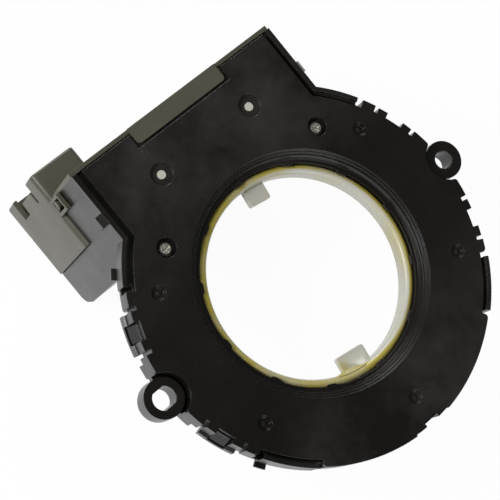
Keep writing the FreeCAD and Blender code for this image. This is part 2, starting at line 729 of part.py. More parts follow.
HEADER_PINS = (-1.5, -0.5, 0.5, 1.5)
BEND = "main_board_near + board_thick + header_deep + 1"
header_holes = []
rising_holes = []
for place in HEADER_PINS:
    x = "%s * header_pitch" % place
    z = "header_low + header_tall / 2"
    header_holes.append(("rectangle", x + " - pin_size / 2", z + " - pin_size / 2", x + " + pin_size / 2",
                         z + " + pin_size / 2"))
    rising_holes.append(("rectangle", x + " - pin_size / 2", BEND + " - pin_size / 2", x + " + pin_size / 2",
                         BEND + " + pin_size / 2"))

sensor_board = new_body("sensor_board")
add(sensor_board, "sensor_laminate",
    [("rectangle", "board_gap - " + INNER, "sensor_board_near", INNER + " - board_gap", "sensor_board_far")]
    + rising_holes, "sensor_board_top - board_thick", "sensor_board_top")
main_board = new_body("main_board")
add(main_board, "main_laminate",
    [("rectangle", "board_gap - " + INNER, "main_board_low", INNER + " - board_gap", "main_board_high")]
    + header_holes + holes, "main_board_near", "main_board_near + board_thick", "XZ_Plane")


def chip(label, length, width, height, x, y, z, chamfer=0.2):
    obj = doc.addObject("Part::Box", label + "_block")
    bind(obj, Length=length, Width=width, Height=height, Placement__Base__x=x, Placement__Base__y=y,
         Placement__Base__z=z)
    doc.recompute()
    bevel = doc.addObject("Part::Chamfer", label)
    bevel.Label = label
    bevel.Base = obj
    longest = max(obj.Shape.BoundBox.XLength, obj.Shape.BoundBox.YLength)
    bevel.Edges = [(index, chamfer, chamfer) for index in (1, 3, 5, 7)]
    return bevel


chips = [
    chip("sensor_chip_a", "chip_side", "chip_side", "chip_thick", "-gear_x - chip_side / 2",
         "gear_y - chip_side / 2", "sensor_board_top"),
    chip("sensor_chip_b", "chip_side", "chip_side", "chip_thick", "gear_x - chip_side / 2",
         "gear_y - chip_side / 2", "sensor_board_top"),
    chip("microcontroller", "controller_side", "controller_thick", "controller_side", "-controller_side / 2",
         "main_board_near - controller_thick", "controller_z - controller_side / 2"),
    chip("bus_transceiver", "4", "1.5", "5", "transceiver_x - 2", "main_board_near - 1.5",
         "transceiver_z - 2.5"),
    chip("voltage_regulator", "6.6", "2.3", "6.1", "regulator_x - 3.3", "main_board_near - 2.3",
         "regulator_z - 3"),
]

crystal = new_body("crystal")
add(crystal, "crystal_base", [("rectangle", "crystal_x - 5.5", "crystal_z - 2.3", "crystal_x + 5.5",
                               "crystal_z + 2.3")], "main_board_near - 0.6", "main_board_near", "XZ_Plane")
add(crystal, "crystal_can", [("rectangle", "crystal_x - 5.1", "crystal_z - 1.9", "crystal_x + 5.1",
                              "crystal_z + 1.9")], "main_board_near - 3.5", "main_board_near - 0.6", "XZ_Plane")

storage = new_body("storage_capacitor")
add(storage, "storage_foot", [("rectangle", "storage_x - storage_r - 0.15", "storage_z - storage_r - 0.15",
                               "storage_x + storage_r + 0.15", "storage_z + storage_r + 0.15")],
    "main_board_near - 0.8", "main_board_near", "XZ_Plane")
add(storage, "storage_can", [("circle", "storage_x", "storage_z", "storage_r")],
    "main_board_near - storage_tall", "main_board_near - 0.8", "XZ_Plane")

caps = []
for number in range(int(size("cap_count"))):
    cap = doc.addObject("Part::Box", "cap_%d" % number)
    bind(cap, Length="cap_long", Width="cap_thick", Height="cap_wide",
         Placement__Base__x="-18 + %d * cap_pitch" % number,
         Placement__Base__y="main_board_near - cap_thick", Placement__Base__z="main_board_high - 5")
    caps.append(cap)
chip_caps = doc.addObject("Part::MultiFuse", "chip_capacitors")
chip_caps.Label = "chip_capacitors"
chip_caps.Shapes = caps

header = new_body("board_header")
add(header, "header_block", [("rectangle", "-header_half", "header_low", "header_half",
                              "header_low + header_tall")] + header_holes,
    "main_board_near + board_thick", "main_board_near + board_thick + header_deep", "XZ_Plane")

# Bent pins from the main board through the header and up through the sensor board
pins = []
for number, place in enumerate(HEADER_PINS):
    x = "%s * header_pitch - pin_size / 2" % place
    z = "header_low + header_tall / 2 - pin_size / 2"
    level = doc.addObject("Part::Box", "pin_level_%d" % number)
    bind(level, Length="pin_size", Width=BEND + " + pin_size / 2 - main_board_near + pin_tail",
         Height="pin_size", Placement__Base__x=x, Placement__Base__y="main_board_near - pin_tail",
         Placement__Base__z=z)
    rise = doc.addObject("Part::Box", "pin_rise_%d" % number)
    bind(rise, Length="pin_size", Width="pin_size",
         Height="sensor_board_top + pin_tail / 2 - (%s)" % z,
         Placement__Base__x=x, Placement__Base__y=BEND + " - pin_size / 2", Placement__Base__z=z)
    pins += [level, rise]
header_pins = doc.addObject("Part::MultiFuse", "header_pins")
header_pins.Label = "header_pins"
header_pins.Shapes = pins

# Terminals of the plug, straight from the main board through the shroud's floor
terminals = []
for number in range(int(size("pin_count"))):
    terminal = new_body("terminal_%d" % (number + 1))
    z = "pin_first + %d * pin_pitch" % number
    add(terminal, "blade_%d" % number,
        [("rectangle", "pin_x - pin_size / 2", z + " - pin_size / 2", "pin_x + pin_size / 2",
          z + " + pin_size / 2")],
        "main_board_near - pin_tail", "pin_far", "XZ_Plane")
    terminals.append(terminal)

# The last feature of each body merges the faces that lie in one surface
for body in [obj for obj in doc.Objects if obj.TypeId == "PartDesign::Body"]:
    body.Tip.Refine = True

doc.recompute()

NODES = [case, cover, rear, rotor] + gears + screws + [sensor_board, main_board] + chips
NODES += [crystal, storage, chip_caps, header, header_pins] + terminals

for obj in doc.Objects:
    if "Invalid" in obj.State or "Error" in obj.State:
        raise RuntimeError("%s: %s" % (obj.Label, obj.State))
for body in [obj for obj in doc.Objects if obj.TypeId == "PartDesign::Body"]:
    volume = 0
    for feature in body.Group:
        if feature.isDerivedFrom("PartDesign::Feature"):
            taking = feature.TypeId in ("PartDesign::Pocket", "PartDesign::Groove")
            change = feature.Shape.Volume - volume
            volume = feature.Shape.Volume
            if change * (-1 if taking else 1) < 1e-6 and feature.TypeId != "PartDesign::Fillet":
                print("no change:", body.Label, feature.Name, round(change, 6))
for node in NODES:
    if node.Shape.isNull() or not node.Shape.isValid():
        raise RuntimeError("bad shape: " + node.Label)

os.makedirs("parts", exist_ok=True)
for node in NODES:
    node.Shape.exportStep("parts/%s.step" % node.Label)
    bounds = node.Shape.BoundBox
    print("%-20s %9.2f mm3  %2d solid  x %7.2f %7.2f  y %7.2f %7.2f  z %7.2f %7.2f" % (
        node.Label, node.Shape.Volume, len(node.Shape.Solids), bounds.XMin, bounds.XMax, bounds.YMin,
        bounds.YMax, bounds.ZMin, bounds.ZMax))
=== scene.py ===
import bpy
import bmesh
import math
from mathutils import Matrix, Vector


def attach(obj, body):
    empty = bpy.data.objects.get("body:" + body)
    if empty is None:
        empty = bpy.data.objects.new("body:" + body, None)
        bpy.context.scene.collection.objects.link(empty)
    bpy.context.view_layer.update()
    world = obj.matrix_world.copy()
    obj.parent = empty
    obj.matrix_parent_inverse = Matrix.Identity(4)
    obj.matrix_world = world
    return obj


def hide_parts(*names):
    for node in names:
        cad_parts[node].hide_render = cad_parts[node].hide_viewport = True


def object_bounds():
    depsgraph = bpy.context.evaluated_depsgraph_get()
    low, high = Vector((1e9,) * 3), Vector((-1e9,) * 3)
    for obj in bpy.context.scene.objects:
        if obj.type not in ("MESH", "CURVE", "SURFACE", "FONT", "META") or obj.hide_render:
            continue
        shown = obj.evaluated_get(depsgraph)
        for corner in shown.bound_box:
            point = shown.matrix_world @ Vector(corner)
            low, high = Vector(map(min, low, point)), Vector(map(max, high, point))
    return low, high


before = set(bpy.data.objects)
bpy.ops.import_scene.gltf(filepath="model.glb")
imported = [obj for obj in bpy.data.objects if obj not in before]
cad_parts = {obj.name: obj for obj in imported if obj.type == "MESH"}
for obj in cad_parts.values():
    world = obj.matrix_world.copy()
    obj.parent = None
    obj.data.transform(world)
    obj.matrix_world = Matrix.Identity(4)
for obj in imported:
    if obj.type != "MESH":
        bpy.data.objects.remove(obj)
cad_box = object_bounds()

scene = bpy.context.scene
scene.view_settings.view_transform = "Standard"

# Camera: above the left side of the sensor, tilted about 23 degrees, as far away as the narrowing of the deep
# box tells. The three directions are the view's right, down and forward in the part's frame, and the focal
# length and the centre are in pixels of the square picture.
view_right = Vector((0.7126, -0.6303, 0.3080))
view_down = Vector((-0.5952, -0.7756, -0.2103))
view_forward = Vector((0.3714, -0.0334, -0.9279))
camera_place = Vector((-0.1304, 0.0201, 0.3070))
picture, focal, centre_x, centre_y = 500, 1509.92, 252.36, 266.73
camera_data = bpy.data.cameras.new("camera")
camera_data.sensor_width = 36.0
camera_data.lens = camera_data.sensor_width * focal / picture
camera_data.shift_x = -(centre_x - picture / 2) / picture
camera_data.shift_y = (centre_y - picture / 2) / picture
camera_data.clip_start = 0.01
camera_data.clip_end = 20
camera = bpy.data.objects.new("camera", camera_data)
scene.collection.objects.link(camera)
turn = Matrix((view_right, -view_down, -view_forward)).transposed()
camera.matrix_world = Matrix.Translation(camera_place) @ turn.to_4x4()
scene.camera = camera

# Studio: white seamless floor under the hanging box, a pale room and three soft lamps.
# The camera sees the floor nearly white, and a light shadow of the part stays on it.
floor_size, floor_gap, floor_glow, room_light = 3.0, 0.0005, 0.95, 0.1


def linear(code):
    # an sRGB hex colour as linear values
    values = [int(code[place:place + 2], 16) / 255 for place in (1, 3, 5)]
    return tuple(v / 12.92 if v <= 0.04045 else ((v + 0.055) / 1.055) ** 2.4 for v in values) + (1.0,)


def add_node(material, kind, settings=None, inputs=None):
    # one shader node, with its settings, its values and its links
    node = material.node_tree.nodes.new(kind)
    for name, value in (settings or {}).items():
        setattr(node, name, value)
    for name, value in (inputs or {}).items():
        socket = node.inputs[name]
        if isinstance(value, bpy.types.NodeSocket):
            material.node_tree.links.new(value, socket)
        else:
            socket.default_value = value
    return node


def reckoned(material, operation, *values):
    # the result of one sum on shader values
    return add_node(material, "ShaderNodeMath", {"operation": operation}, dict(enumerate(values))).outputs[0]


floor_mesh = bpy.data.meshes.new("studio_floor")
shape = bmesh.new()
bmesh.ops.create_grid(shape, x_segments=1, y_segments=1, size=floor_size)
bmesh.ops.translate(shape, verts=shape.verts, vec=(0, 0, cad_box[0][2] - floor_gap))
shape.to_mesh(floor_mesh)
shape.free()
studio_floor = bpy.data.objects.new("studio_floor", floor_mesh)
scene.collection.objects.link(studio_floor)
paper = bpy.data.materials.new("white_seamless_paper")
paper.use_nodes = True
paper.node_tree.nodes.clear()
matt = add_node(paper, "ShaderNodeBsdfDiffuse", inputs={"Color": linear("#f6f6f6")})
glow = add_node(paper, "ShaderNodeEmission", inputs={"Color": (1, 1, 1, 1), "Strength": 1.0})
eye = add_node(paper, "ShaderNodeLightPath")
seen = reckoned(paper, "MAXIMUM", eye.outputs["Is Camera Ray"], eye.outputs["Is Glossy Ray"])
share = reckoned(paper, "MULTIPLY", seen, floor_glow)
paper_mix = add_node(paper, "ShaderNodeMixShader", inputs={0: share, 1: matt.outputs[0], 2: glow.outputs[0]})
add_node(paper, "ShaderNodeOutputMaterial", inputs={"Surface": paper_mix.outputs[0]})
floor_mesh.materials.append(paper)

room = bpy.data.worlds.new("pale_room")
room.use_nodes = True
room.node_tree.nodes["Background"].inputs["Color"].default_value = linear("#ffffff")
room.node_tree.nodes["Background"].inputs["Strength"].default_value = room_light
scene.world = room

for name, place, size, power in (
        ("key_lamp", (-0.75, 0.55, 0.75), 0.7, 12.5),
        ("fill_lamp", (-0.35, -0.95, 0.65), 0.8, 6.0),
        ("rim_lamp", (0.42, 0.9, 0.36), 0.6, 6.0)):
    lamp_data = bpy.data.lights.new(name, "AREA")
    lamp_data.shape = "DISK"
    lamp_data.size = size
    lamp_data.energy = power
    lamp = bpy.data.objects.new(name, lamp_data)
    toward = Vector(place).to_track_quat("Z", "Y").to_matrix().to_4x4()
    lamp.matrix_world = Matrix.Translation(Vector(place)) @ toward
    scene.collection.objects.link(lamp)

# Lower case: one injection moulding of black glass-filled polyester with the ring floor, raised rims, tower,
# deep box and two mounting ears. Its four catches snap into the cover's loops. Lengths are in millimetres and
# angles in degrees, until finished() brings a piece to metres.
SIDES = (1, -1)


def ranged(material, value, low, high, to_low, to_high, way="LINEAR"):
    # a shader value carried from one range to another
    return add_node(material, "ShaderNodeMapRange", {"interpolation_type": way},
                    {0: value, 1: low, 2: high, 3: to_low, 4: to_high}).outputs[0]


def cloudy(material, where, scale, detail, roughness=0.5):
    # soft noise about the middle of 0 to 1
    return add_node(material, "ShaderNodeTexNoise", inputs={
        "Vector": where, "Scale": scale, "Detail": detail, "Roughness": roughness}).outputs["Fac"]


def blended(material, share, first, second):
    # two colours mixed by a share
    return add_node(material, "ShaderNodeMix", {"data_type": "RGBA"},
                    {0: share, 6: first, 7: second}).outputs[2]


def moulded(name, light, dark, rough, grain_mm, grain, edge_mm, scuffs=0.0, metal=0.0):
    # injection moulded plastic: fine eroded grain, soft mottling, rounded edges and rubbed scuffs; with metal
    # at 1, plated or drawn metal with the same fine grain
    streak_scale, grain_deep, rubbed_grey = (1500, 380, 700), 0.00004, "#6b6965"
    plastic = bpy.data.materials.new(name)
    plastic.use_nodes = True
    plastic.node_tree.nodes.clear()
    spot = add_node(plastic, "ShaderNodeTexCoord").outputs["Object"]
    mottle = cloudy(plastic, spot, 90.0, 4.0, 0.6)
    tone = blended(plastic, mottle, linear(dark), linear(light))
    streak_map = add_node(plastic, "ShaderNodeMapping", inputs={"Vector": spot, "Scale": streak_scale})
    streaks = ranged(plastic, cloudy(plastic, streak_map.outputs[0], 1.0, 3.0), 0.66, 0.76, 0.0, scuffs)
    across = add_node(plastic, "ShaderNodeSeparateXYZ", inputs={"Vector": spot})
    far = reckoned(plastic, "ABSOLUTE", across.outputs["Y"])
    rubbed = ranged(plastic, far, 0.012, 0.034, scuffs * 0.2, scuffs * 3.0)
    haze = ranged(plastic, cloudy(plastic, spot, 32.0, 5.0, 0.65), 0.42, 0.66, 0.0, rubbed)
    worn = blended(plastic, reckoned(plastic, "ADD", streaks, haze), tone, linear(rubbed_grey))
    roughness = ranged(plastic, mottle, 0.3, 0.7, rough - 0.04, rough + 0.06)
    fine = cloudy(plastic, spot, 1000.0 / grain_mm / 2, 2.0)
    rounded = add_node(plastic, "ShaderNodeBevel", {"samples": 4}, {"Radius": edge_mm / 1000})
    bump = add_node(plastic, "ShaderNodeBump", inputs={
        "Strength": grain, "Distance": grain_deep, "Height": fine, "Normal": rounded.outputs[0]})
    skin = add_node(plastic, "ShaderNodeBsdfPrincipled", inputs={
        "Base Color": worn, "Roughness": roughness, "Metallic": metal, "Normal": bump.outputs[0]})
    add_node(plastic, "ShaderNodeOutputMaterial", inputs={"Surface": skin.outputs[0]})
    return plastic


def spun(outline, middle=0.0, span=360.0):
    # closed solid: an outline of (radius, height) in mm, turned about the ring's axis
    step_angle = 1.5
    shape = bmesh.new()
    start = math.radians(middle - span / 2)
    rim = [shape.verts.new((r * math.cos(start), r * math.sin(start), z)) for r, z in outline]
    if span == 360.0:
        rim += [shape.edges.new(ends) for ends in zip(rim, rim[1:] + rim[:1])]
    else:
        face = shape.faces.new(rim)
        rim += face.edges[:] + [face]
    bmesh.ops.spin(shape, geom=rim, axis=(0, 0, 1), angle=math.radians(span),
                   steps=math.ceil(span / step_angle), use_merge=span == 360.0)
    bmesh.ops.recalc_face_normals(shape, faces=shape.faces)
    return shape


def pushed(outline, low, high, along="Z"):
    # closed solid: a flat outline in mm, pushed along an axis from one level to another
    shape = bmesh.new()
    face = shape.faces.new([shape.verts.new((a, b, low)) for a, b in outline])
    grown = bmesh.ops.extrude_face_region(shape, geom=[face])["geom"]
    bmesh.ops.translate(shape, verts=[g for g in grown if isinstance(g, bmesh.types.BMVert)],
                        vec=(0, 0, high - low))
    for corner in shape.verts:
        a, b, h = corner.co
        corner.co = {"Z": (a, b, h), "Y": (a, h, b), "X": (h, a, b)}[along]
    bmesh.ops.recalc_face_normals(shape, faces=shape.faces)
    return shape


def block(low_r, high_r, low, high):
    # the outline of a plain band between two radii and two heights
    return [(low_r, low), (high_r, low), (high_r, high), (low_r, high)]


def box(left, low, right, high):
    # the outline of a rectangle
    return [(left, low), (right, low), (right, high), (left, high)]


def disc(x, y, radius, steps=64):
    # the outline of a circle
    return [(x + radius * math.cos(math.tau * step / steps), y + radius * math.sin(math.tau * step / steps))
            for step in range(steps)]


def eased(outline, radius, corners=None, steps=8):
    # the outline with its corners, or the numbered ones, rounded
    points = []
    for number, corner in enumerate(outline):
        if corners is not None and number not in corners:
            points.append(corner)
            continue
        here = Vector(corner)
        back = (Vector(outline[number - 1]) - here).normalized()
        ahead = (Vector(outline[(number + 1) % len(outline)]) - here).normalized()
        half = back.angle(ahead) / 2
        centre = here + (back + ahead).normalized() * radius / math.sin(half)
        first = here + back * radius / math.tan(half) - centre
        last = here + ahead * radius / math.tan(half) - centre
        for step in range(steps + 1):
            arm = first.lerp(last, step / steps).normalized() * radius
            points.append(tuple(centre + arm))
    return points


def worked(base, jobs):
    # the base solid with each job done in turn: "+" adds the next solid and "-" cuts it away
    bench, tool = (bpy.data.objects.new(name, bpy.data.meshes.new(name)) for name in ("bench", "tool"))
    scene.collection.objects.link(bench)
    scene.collection.objects.link(tool)
    base.to_mesh(bench.data)
    base.free()
    step = bench.modifiers.new("step", "BOOLEAN")
    step.object = tool
    step.solver = "MANIFOLD"
    same_place = 0.0005
    for sign, solid in jobs:
        step.operation = {"+": "UNION", "-": "DIFFERENCE"}[sign]
        tool.data.clear_geometry()
        solid.to_mesh(tool.data)
        solid.free()
        done = bpy.data.meshes.new_from_object(bench.evaluated_get(bpy.context.evaluated_depsgraph_get()))
        shape = bmesh.new()
        shape.from_mesh(done)
        bmesh.ops.remove_doubles(shape, verts=shape.verts, dist=same_place)
        bmesh.ops.dissolve_degenerate(shape, edges=shape.edges, dist=same_place)
        bench.data.clear_geometry()
        shape.to_mesh(bench.data)
        shape.free()
        bpy.data.meshes.remove(done)
    shape = bmesh.new()
    shape.from_mesh(bench.data)
    for spare in (bench.data, tool.data):
        bpy.data.meshes.remove(spare)
    return shape


def finished(shape, name, material, node):
    # the piece in metres, with smooth curves and sharp corners, standing for its node
    metres, sharp_bend = 0.001, 25
    bmesh.ops.scale(shape, vec=(metres, metres, metres), verts=shape.verts)
    mesh = bpy.data.meshes.new(name)
    shape.to_mesh(mesh)
    shape.free()
    mesh.shade_smooth()
    mesh.set_sharp_from_angle(angle=math.radians(sharp_bend))
    mesh.materials.append(material)
    piece = bpy.data.objects.new(name, mesh)
    scene.collection.objects.link(piece)
    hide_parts(node)
    return piece


# How far a cut goes past a face, and how far a solid reaches into its neighbour
past, weld = 1.0, 0.6

# Ring wall and floor, the tower and the deep box with its sloping foot
case_r, case_wall, floor_thick, rim_high = 42.2, 1.3, 1.2, 6.0
foot_step, foot_inset = 2.0, 0.8
shaft_hole_r, collar_r, flange_room_low = 24.86, 25.91, 1.7
tower_half, tower_far, tower_wall = 29.0, 47.9, 1.2
box_near, box_depth, box_slope_in, box_slope_high, box_round = 25.5, 44.7, 1.2, 5.2, 2.5
inner_half, room_lap = tower_half - tower_wall, 3
case_base = pushed(eased([(box_near, weld), (box_near, box_slope_high - box_depth),
                          (box_near + box_slope_in, -box_depth), (tower_far, -box_depth), (tower_far, weld)],
                         box_round, [2]), -tower_half, tower_half, "X")
case_jobs = [
    ("-", pushed([(box_near + tower_wall, 0), (box_near + tower_wall, box_slope_high - box_depth),
                  (box_near + box_slope_in + tower_wall, tower_wall - box_depth),
                  (tower_far + past, tower_wall - box_depth), (tower_far + past, 0)],
                 -inner_half, inner_half, "X")),
    ("+", spun([(shaft_hole_r, 0), (case_r - foot_inset, 0), (case_r - foot_inset, foot_step),
                (case_r, foot_step), (case_r, rim_high), (shaft_hole_r, rim_high)])),
    ("+", pushed(box(-tower_half, box_near, tower_half, tower_far), 0, rim_high)),
    ("-", spun([(collar_r, floor_thick), (case_r - case_wall - foot_inset, floor_thick),
                (case_r - case_wall - foot_inset, flange_room_low), (case_r - case_wall, flange_room_low),
                (case_r - case_wall, rim_high + past), (shaft_hole_r - past, rim_high + past),
                (shaft_hole_r - past, flange_room_low), (collar_r, flange_room_low)])),
    ("-", pushed(box(-inner_half, box_near - room_lap, inner_half, tower_far + past), floor_thick,
                 rim_high + past)),
]

# Four catches with ramps, each in a pocket between two legs of a loop of the cover
loop_mid, loop_span, loop_leg, loop_gap, loop_inner_r = 19.95, 12.1, 3.2, 1.2, 40.85
latch_r, pocket_r, latch_side = loop_inner_r - 1.35, loop_inner_r - 0.15, 7.0
catch_foot_r, catch_tip_r = loop_inner_r - 0.55, loop_inner_r + 0.15
catch_low, catch_nose, catch_high, catch_top, catch_play = 1.2, 0.6, 4.2, 5.5, 0.6
corners = (loop_mid, 180 - loop_mid, 180 + loop_mid, -loop_mid)
for mid in corners:
    case_jobs += [
        ("+", spun(block(latch_r, case_r - foot_inset, weld, rim_high), mid,
                   loop_span + 2 * loop_gap + 2 * latch_side)),
        ("-", spun(block(pocket_r, case_r + past, -past, rim_high + past), mid, loop_span + 2 * loop_gap)),
        ("+", spun([(catch_foot_r, catch_low), (case_r, catch_low), (case_r, catch_low + catch_nose),
                    (catch_tip_r, catch_high), (catch_tip_r, catch_top), (catch_foot_r, catch_top)],
                   mid, loop_span - 2 * loop_leg - catch_play)),
    ]

# Step and window in the wall at the front
front_mid, front_span, front_window, front_step, front_deep = 269.5, 13.6, 5.2, 0.35, 0.9
case_jobs += [
    ("-", spun(block(case_r - front_step, case_r + past, foot_step, rim_high + past), front_mid, front_span)),
    ("-", spun(block(case_r - front_deep, case_r + past, foot_step, rim_high + past), front_mid,
               front_window)),
]

# Raised rims, as (middle, span, height), the ledges under the cover's skirts and the lugs beside the tower
rims = ((40.4, 14.4, 6.8), (-41.2, 17.0, 7.5))
rim_inner_r, rim_outer_r, rim_notch = 41.5, 42.5, 1.4
groove_low, ledge_thick, ledge_width, ledge_weld = 5.2, 1.0, 2.2, 0.5
for mid, span, high in rims:
    for place in (mid, 180 - mid):
        case_jobs += [
            ("+", spun(block(rim_inner_r, rim_outer_r, foot_step, high), place, span)),
            ("+", spun(block(rim_inner_r - ledge_width, case_r - ledge_weld, groove_low - ledge_thick,
                             groove_low), place, span + rim_notch)),
        ]
tower_rim_from, skirt_from, skirt_far = box_near + 4.9, box_near + 2.5, 47.5
side_lug_near, side_lug_far, side_lug_out = 35.4, 38.2, 1.3
side_lug_low, side_lug_slope, side_lug_high = 1.8, 5.3, 6.6
for sign in SIDES:
    case_jobs += [
        ("+", pushed(box(sign * inner_half, tower_rim_from, sign * tower_half, tower_far),
                     rim_high - ledge_weld, rims[0][2])),
        ("+", pushed(box(sign * (inner_half - ledge_width), skirt_from, sign * (inner_half + ledge_weld),
                         skirt_far), groove_low - ledge_thick, groove_low)),
        ("+", pushed([(sign * (tower_half - ledge_weld), side_lug_low),
                      (sign * (tower_half + side_lug_out), side_lug_low),
                      (sign * (tower_half + side_lug_out), side_lug_slope),
                      (sign * tower_half, side_lug_high),
                      (sign * (tower_half - ledge_weld), side_lug_high)], side_lug_near, side_lug_far, "Y")),
    ]

# Upright slots beside the rims, and the small feet of the ring
wall_slot, wall_slot_low, deep_slot_r, shallow_slot_r = 1.8, 3.2, 40.4, case_r - 0.9
for mid, depth in ((rims[0][0] - (rims[0][1] + wall_slot) / 2, deep_slot_r),
                   (rims[1][0] + (rims[1][1] + wall_slot) / 2, deep_slot_r),
                   (rims[1][0] - (rims[1][1] + wall_slot) / 2, shallow_slot_r)):
    for place in (mid, 180 - mid):
        case_jobs.append(("-", spun(block(depth, case_r + past, wall_slot_low, rim_high + 3 * past), place,
                                    wall_slot)))
foot_lug_r, foot_lug_thick, foot_lug_span, foot_weld = 43.4, 0.7, 3.5, 0.4
foot_lug_far, foot_lug_near = 38.5, 34.8
for place in (foot_lug_far, 180 - foot_lug_far, -foot_lug_near, 180 + foot_lug_near):
    case_jobs.append(("+", spun(block(case_r - foot_inset - foot_weld, foot_lug_r, 0, foot_lug_thick), place,
                                foot_lug_span)))

# Ears with their feet and pockets, posts for the screws, holes for the gear hubs and rails for the boards,
# then the two ear holes, the rest of the main board and the openings for plug and hook in the -X side
ear_x, ear_r, ear_high, ear_hole_r, ear_slot_r, ear_slot_half = 43.45, 4.46, 5.5, 2.15, 2.6, 2.2
ear_pocket_r, ear_pocket_wall, ear_pocket_floor = 5.2, 0.9, 2.5
ear_foot_low, ear_foot_span, ear_trim, ear_trim_span = -1.2, 22, 12, 30
screw_x, screw_y, post_r, post_top, thread_r, thread_top = 22.74, 23.96, 2.2, 4.2, 0.95, 5.2
gear_x, gear_y, hub_hole_r = 13.05, 36.75, 4.06
rail_out, rail_weld, rail_bottom, rail_top = 1.9, 0.3, -43.7, -5.0
rail_near, rail_near_far, rail_far, rail_far_far = 31.8, 33.0, 34.6, 35.4
shelf_near, shelf_far, shelf_low, shelf_high = 28.0, 45.6, -4.4, -3.2
for sign in SIDES:
    ear_side = 90 - sign * 90
    rail_in, rail_end = sign * (inner_half - rail_out), sign * (inner_half + rail_weld)
    case_jobs += [
        ("+", spun(block(case_r - foot_inset - foot_weld, case_r, ear_foot_low, foot_step), ear_side,
                   ear_foot_span)),
        ("+", pushed(disc(sign * ear_x, 0, ear_pocket_r + ear_pocket_wall), 0, rim_high)),
        ("-", spun(block(case_r, case_r + ear_trim, -2 * past, rim_high + past), ear_side, ear_trim_span)),
        ("-", pushed(disc(sign * ear_x, 0, ear_pocket_r), ear_pocket_floor, rim_high + past)),
        ("-", pushed(disc(sign * ear_x, 0, ear_pocket_r), ear_foot_low - past, 0)),
        ("+", pushed(disc(sign * ear_x, 0, ear_r), 0, ear_high)),
        ("+", pushed(disc(sign * screw_x, screw_y, post_r), weld, post_top)),
        ("-", pushed(disc(sign * screw_x, screw_y, thread_r), weld, thread_top)),
        ("-", pushed(disc(sign * gear_x, gear_y, hub_hole_r), -past, floor_thick + past)),
        ("+", pushed(box(rail_in, shelf_near, rail_end, shelf_far), shelf_low, shelf_high)),
        ("+", pushed(box(rail_in, rail_near, rail_end, rail_near_far), rail_bottom, rail_top)),
        ("+", pushed(box(rail_in, rail_far, rail_end, rail_far_far), rail_bottom, rail_top)),
    ]
flat = [(x, max(-ear_slot_half, min(ear_slot_half, y))) for x, y in disc(-ear_x, 0, ear_slot_r)]
rest_half, rest_top = 6, -42.3
plug_window = box(35.4, -43.4, tower_far + past, -12.5)
hook_window = box(44.2, -12.7, tower_far + past, -5.6)
case_jobs += [
    ("-", pushed(disc(ear_x, 0, ear_hole_r), -past, ear_high + past)),
    ("-", pushed(flat, -past, ear_high + past)),
    ("+", pushed(box(-rest_half, rail_near, rest_half, rail_far_far), rail_bottom, rest_top)),
    ("-", pushed(plug_window, -tower_half - past, -inner_half, "X")),
    ("-", pushed(hook_window, -tower_half - past, -inner_half, "X")),
]
case_black = moulded("black_glass_filled_polyester", "#13110e", "#0c0a08", rough=0.3, grain_mm=0.25,
                     grain=0.3, edge_mm=0.22, scuffs=0.05)
case_moulding = finished(worked(case_base, case_jobs), "case_moulding", case_black, "lower_case")
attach(case_moulding, "housing")

# Top cover: a thin injection moulding of the same polyester with the stepped lip round the bore, its twelve
# small bumps, countersinks for the screws, bearing discs for the gears and five round dimples. Its four loops
# snap over the catches of the lower case, and two screws hold it beside the tower.
plate, funnel_r, funnel_weld, cover_weld = rim_high + 1.3, 27.6, 0.4, 0.3
edge_r_far, edge_r_near, edge_half, edge_shift, edge_more, skirt_thick = 40.1, 40.65, 26.6, 2.4, 8, 1.0
cover_base = spun(block(funnel_r + funnel_weld, case_r, rim_high, plate))
cover_jobs = [("-", spun(block(pocket_r, case_r + past, rim_high - past, plate + past), mid,
                         loop_span + 2 * loop_gap)) for mid in corners]
for mid, span, edge in ((rims[0][0] + edge_shift, rims[0][1] + edge_more, edge_r_far),
                        (rims[1][0], rims[1][1] + 2 * rim_notch, edge_r_near)):
    cover_jobs += [("-", spun(block(edge, case_r + past, rim_high - past, plate + past), place, span))
                   for place in (mid, 180 - mid)]
cover_jobs += [("-", pushed(disc(sign * ear_x, 0, ear_pocket_r), rim_high - past, plate + past))
               for sign in SIDES]
cover_jobs += [
    ("-", spun(block(case_r - front_step, case_r + past, rim_high - past, plate + past), front_mid,
               front_span)),
    ("-", spun(block(pocket_r, case_r + past, rim_high - past, plate + past), front_mid, front_window)),
]
cover_shape = worked(cover_base, cover_jobs)


def lobe_corner(edge):
    # an upright corner at full radius, but not one beside a loop or the front window
    least_height, on_rim, front_half = 1, 0.05, 5
    by_loop, least_bend = 0.5, 0.4
    middle = (edge.verts[0].co + edge.verts[1].co) / 2
    upright = abs(edge.verts[0].co.z - edge.verts[1].co.z) > least_height
    turn = math.degrees(math.atan2(abs(middle.y), abs(middle.x)))
    beside = abs(abs(turn - loop_mid) - loop_span / 2 - loop_gap) < by_loop
    return (upright and abs(math.hypot(middle.x, middle.y) - case_r) < on_rim and abs(middle.x) > front_half
            and not beside and edge.calc_face_angle(0) > least_bend)


lobe_round = 0.9
bmesh.ops.bevel(cover_shape, geom=[edge for edge in cover_shape.edges if lobe_corner(edge)],
                offset=lobe_round, segments=6, profile=0.5, affect="EDGES", material=-1)

